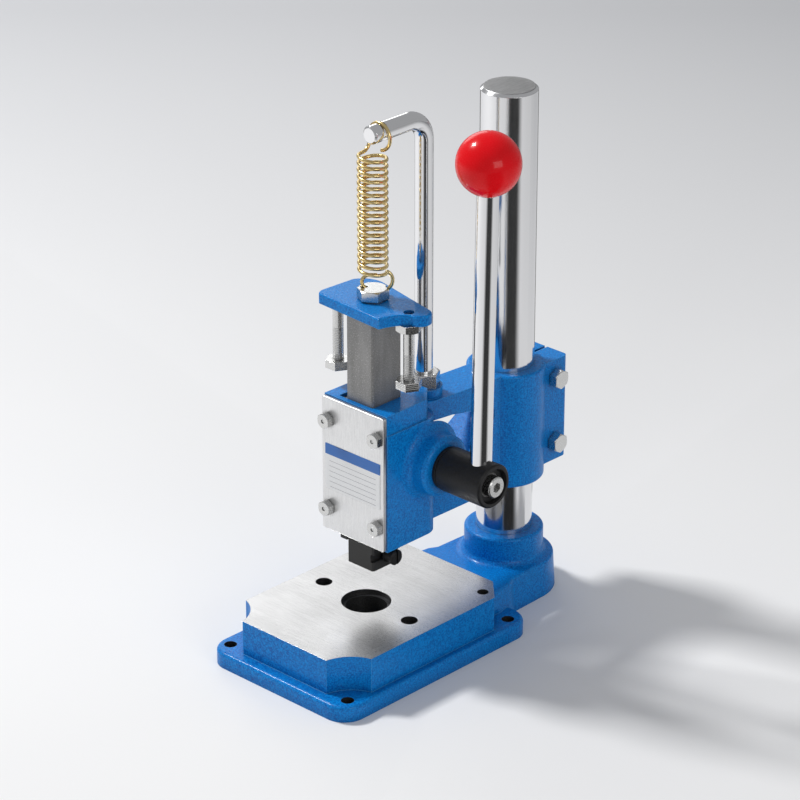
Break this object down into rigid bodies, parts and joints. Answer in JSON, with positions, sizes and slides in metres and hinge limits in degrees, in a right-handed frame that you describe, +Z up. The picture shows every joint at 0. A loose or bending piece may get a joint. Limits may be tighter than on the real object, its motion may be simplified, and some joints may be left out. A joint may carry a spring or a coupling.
{
  "type": "lever hole punch",
  "caption": "Bench hand press: a side lever drives a rack-and-pinion ram, on a head that clamps to a round column over a cast table with a die hole.",
  "frame": {"origin": "centre of the four bench-bolt holes, on the underside of the base flange", "axes": "+Z up along the column, +Y from the front edge towards the column, +X towards the lever side"},
  "size_m": [0.1329, 0.2182, 0.3146],
  "materials": {
    "blue_paint": "glossy hammered blue paint on cast iron; machined faces bare",
    "hard_chrome": "polished hard chrome",
    "ground_steel": "fine ground steel",
    "blasted_steel": "matt blasted grey steel",
    "black_steel": "satin black oxide",
    "zinc_plate": "bright zinc plate",
    "bronze": "plain sintered bronze",
    "red_plastic": "gloss red moulded ball",
    "spring_wire": "pale yellow passivated spring wire",
    "printed_label": "white film with a plain blue field"
  },
  "bodies": {
    "base": {"base_casting": "blue_paint", "column_set_screw": "black_steel"},
    "column": {"column": "hard_chrome"},
    "head": {"head_casting": "blue_paint", "front_cover_plate": "ground_steel", "name_plate": "printed_label", "gib_strip": "blasted_steel", "right_bush": "bronze", "left_bush": "bronze", "cover_screws": "zinc_plate", "clamp_bolts": "zinc_plate", "clamp_nuts": "zinc_plate", "gib_screws": "zinc_plate", "gib_lock_nuts": "zinc_plate", "thrust_washer": "black_steel", "spring_arm": "hard_chrome", "spring_arm_nut": "zinc_plate", "return_spring": "spring_wire"},
    "lever": {"pinion_shaft": "blasted_steel", "lever_hub": "black_steel", "lever_rod": "hard_chrome", "ball_knob": "red_plastic", "hub_end_screw": "zinc_plate", "shaft_retaining_washer": "zinc_plate", "shaft_retaining_screw": "zinc_plate"},
    "ram": {"ram": "blasted_steel", "tool_clamp_screw": "black_steel", "ram_crosshead": "blue_paint", "crosshead_bolt": "zinc_plate", "crosshead_washer": "zinc_plate", "left_stop_bolt": "zinc_plate", "right_stop_bolt": "zinc_plate", "stop_lock_nuts": "zinc_plate"}
  },
  "joints": [
    {"name": "column_turn", "type": "hinge", "parent": "base", "child": "column", "pos_m": [0, 0.11, 0.03], "axis": [0, 0, 1], "range_deg": [-180, 180]},
    {"name": "head_height", "type": "slide", "parent": "column", "child": "head", "axis": [0, 0, 1], "range_m": [-0.01, 0.15]},
    {"name": "lever_turn", "type": "hinge", "parent": "head", "child": "lever", "pos_m": [0, 0.022, 0.1158], "axis": [1, 0, 0], "range_deg": [0, 63.66], "stiffness_Nm_per_rad": 0.162, "springref_deg": -80.21},
    {"name": "ram_slide", "type": "slide", "parent": "head", "child": "ram", "axis": [0, 0, -1], "range_m": [0, 0.01], "deforming": ["return_spring"]}
  ],
  "couplings": [
    {"joint": "ram_slide", "follows": "lever_turn", "m_per_rad": 0.009}
  ]
}
